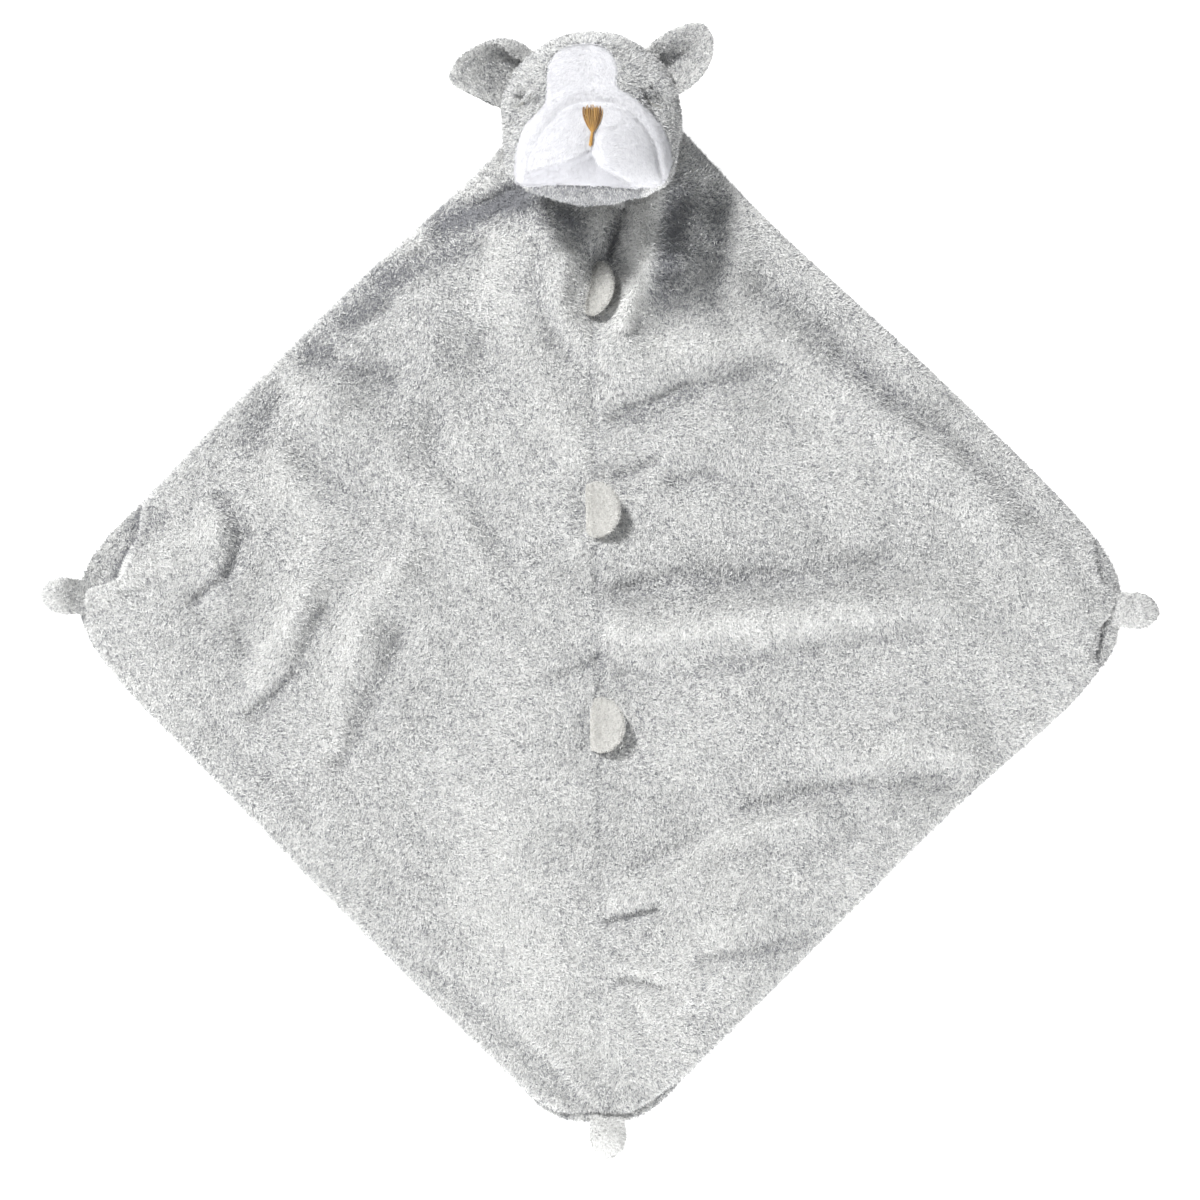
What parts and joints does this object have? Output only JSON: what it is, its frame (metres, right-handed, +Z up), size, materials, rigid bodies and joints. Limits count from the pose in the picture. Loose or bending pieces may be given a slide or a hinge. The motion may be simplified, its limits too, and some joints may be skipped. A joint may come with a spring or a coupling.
{
  "type": "comfort blanket lovey",
  "caption": "Square plush comfort blanket lying flat, with a stuffed bulldog head at one corner, stuffed paws at the others and soft tabs down its centre seam.",
  "frame": {"origin": "on the resting face, where the blanket's diagonals cross", "axes": "+Z up out of the blanket's front, the way the face looks; +Y towards the head along the centre seam; +X to the right seen from above with the head at the top"},
  "size_m": [0.4974, 0.5023, 0.0704],
  "materials": {
    "grey_fleece": "heathered short plush, matte",
    "white_fleece": "fine white plush, matte",
    "pale_fleece": "off-white short plush, matte",
    "brown_thread": "golden brown satin stitch",
    "grey_thread": "grey sewing thread",
    "fibre_filling": "polyester fibre filling"
  },
  "bodies": {
    "blanket": {"back_panel": "grey_fleece", "front_panel_left": "grey_fleece", "front_panel_right": "grey_fleece", "neck_gather": "grey_fleece"},
    "head": {"head_back": "grey_fleece", "head_side_left": "grey_fleece", "head_side_right": "grey_fleece", "blaze_panel": "white_fleece", "muzzle_panel": "white_fleece", "lower_lip": "white_fleece", "chin_panel": "grey_fleece", "head_filling": "fibre_filling", "nose_embroidery": "brown_thread", "mouth_stitch": "brown_thread", "eye_stitch_left": "grey_thread", "eye_stitch_right": "grey_thread"},
    "ear_left": {"ear_left_front": "grey_fleece", "ear_left_back": "grey_fleece"},
    "ear_right": {"ear_right_front": "grey_fleece", "ear_right_back": "grey_fleece"},
    "tab_top": {"tab_top": "pale_fleece"},
    "tab_middle": {"tab_middle": "pale_fleece"},
    "tab_bottom": {"tab_bottom": "pale_fleece"},
    "paw_left": {"paw_left": "grey_fleece", "paw_left_filling": "fibre_filling"},
    "paw_right": {"paw_right": "grey_fleece", "paw_right_filling": "fibre_filling"},
    "paw_bottom": {"paw_bottom": "grey_fleece", "paw_bottom_filling": "fibre_filling"}
  },
  "joints": [
    {"name": "head_nod", "type": "hinge", "parent": "blanket", "child": "head", "pos_m": [0, 0.184, 0.006], "axis": [1, 0, 0], "range_deg": [0, 55]},
    {"name": "ear_left_flop", "type": "hinge", "parent": "head", "child": "ear_left", "pos_m": [-0.03965, 0.23066, 0.0338], "axis": [0.454, 0.891, 0], "range_deg": [-35, 35], "stiffness_Nm_per_rad": 0.004},
    {"name": "ear_right_flop", "type": "hinge", "parent": "head", "child": "ear_right", "pos_m": [0.0296, 0.23451, 0.0338], "axis": [0.5519, -0.8339, 0], "range_deg": [-35, 35], "stiffness_Nm_per_rad": 0.004},
    {"name": "tab_top_flop", "type": "hinge", "parent": "blanket", "child": "tab_top", "pos_m": [-0.00242, 0.13892, 0.00929], "axis": [0.225, 0.9744, 0], "range_deg": [-95, 25], "stiffness_Nm_per_rad": 0.001},
    {"name": "tab_middle_flop", "type": "hinge", "parent": "blanket", "child": "tab_middle", "pos_m": [-0.00199, 0.0403, 0.00851], "axis": [-0.0175, 0.9998, 0], "range_deg": [-110, 16], "stiffness_Nm_per_rad": 0.001},
    {"name": "tab_bottom_flop", "type": "hinge", "parent": "blanket", "child": "tab_bottom", "pos_m": [-0.00006, -0.05582, 0.0085], "axis": [0, 1, 0], "range_deg": [-110, 16], "stiffness_Nm_per_rad": 0.001},
    {"name": "paw_left_fold", "type": "hinge", "parent": "blanket", "child": "paw_left", "pos_m": [-0.23632, 0.00167, 0.00275], "axis": [0.0523, 0.9986, 0], "range_deg": [0, 60]},
    {"name": "paw_right_fold", "type": "hinge", "parent": "blanket", "child": "paw_right", "pos_m": [0.23632, -0.00456, 0.00275], "axis": [-0.0872, -0.9962, 0], "range_deg": [0, 60]},
    {"name": "paw_bottom_fold", "type": "hinge", "parent": "blanket", "child": "paw_bottom", "pos_m": [0.00342, -0.23632, 0.00275], "axis": [-0.9994, -0.0349, 0], "range_deg": [0, 60]}
  ]
}
